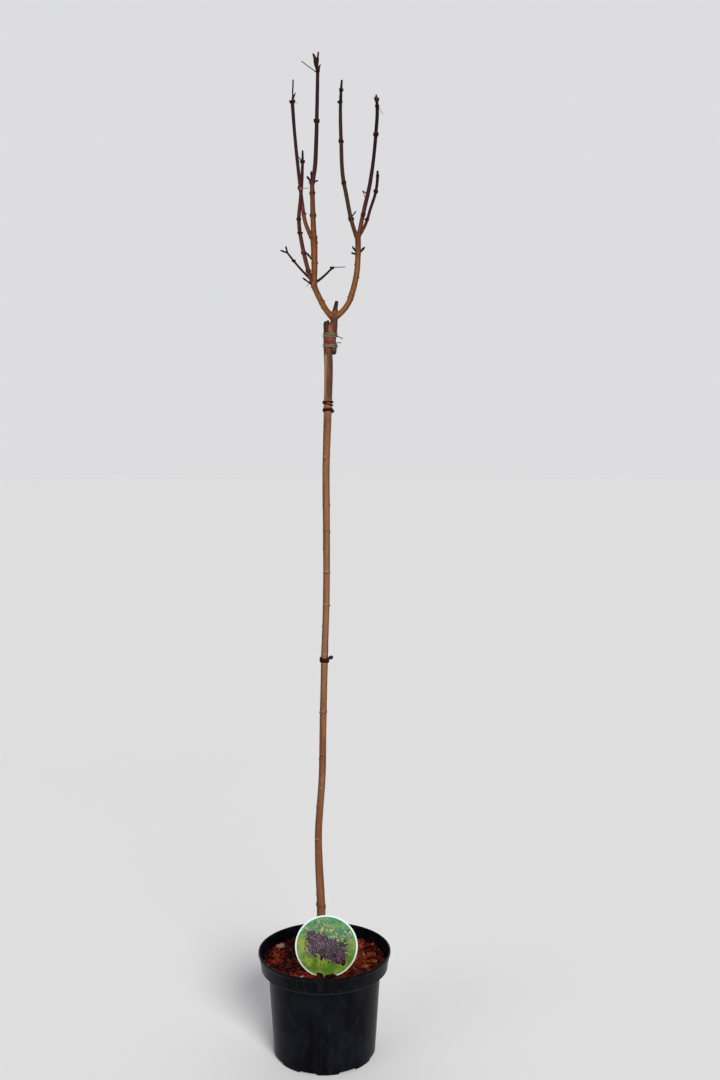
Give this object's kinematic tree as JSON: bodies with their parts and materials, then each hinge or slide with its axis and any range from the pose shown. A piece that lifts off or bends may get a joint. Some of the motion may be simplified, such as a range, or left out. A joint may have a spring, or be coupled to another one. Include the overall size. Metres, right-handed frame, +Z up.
{
  "type": "young top-grafted norway maple tree in a nursery pot",
  "caption": "Young norway maple grafted on top of a slim straight stem, bare in winter, in a round nursery pot of bark compost with a round picture label.",
  "frame": {"origin": "centre of the pot's flat underside, on the surface that it stands on", "axes": "+Z up along the stem, -Y towards the side that carries the label, +X to the right as seen from there"},
  "size_m": [0.258, 0.258, 1.9001],
  "materials": {
    "pot_plastic": "black moulded container plastic, satin, lightly scuffed",
    "bark_compost": "damp red-brown bark chips and fibre, with a few pale chips",
    "label_card": "printed laminated card with a white rim",
    "stem_bark": "smooth warm brown young bark with leaf scars",
    "graft_bark": "rough red-brown callus and old cut wood",
    "bough_bark": "smooth orange-brown to olive young bark",
    "twig_bark": "smooth brown to purple-black young bark with dark buds",
    "tie_rubber": "dark brown tie tube, matt",
    "twine": "weathered green grafting twine"
  },
  "bodies": {
    "root": {"pot": "pot_plastic", "soil": "bark_compost", "label": "label_card", "trunk": "stem_bark", "scion": "graft_bark", "left_bough": "bough_bark", "left_leader": "bough_bark", "right_bough": "bough_bark", "right_leader": "bough_bark", "left_top_twigs": "twig_bark", "left_outer_twigs": "twig_bark", "left_low_twigs": "twig_bark", "left_inner_twigs": "twig_bark", "right_inner_twigs": "twig_bark", "right_outer_twigs": "twig_bark", "tie_upper": "tie_rubber", "tie_middle": "tie_rubber", "tie_lower": "tie_rubber", "graft_twine_upper": "twine", "graft_twine_lower": "twine"}
  },
  "joints": []
}
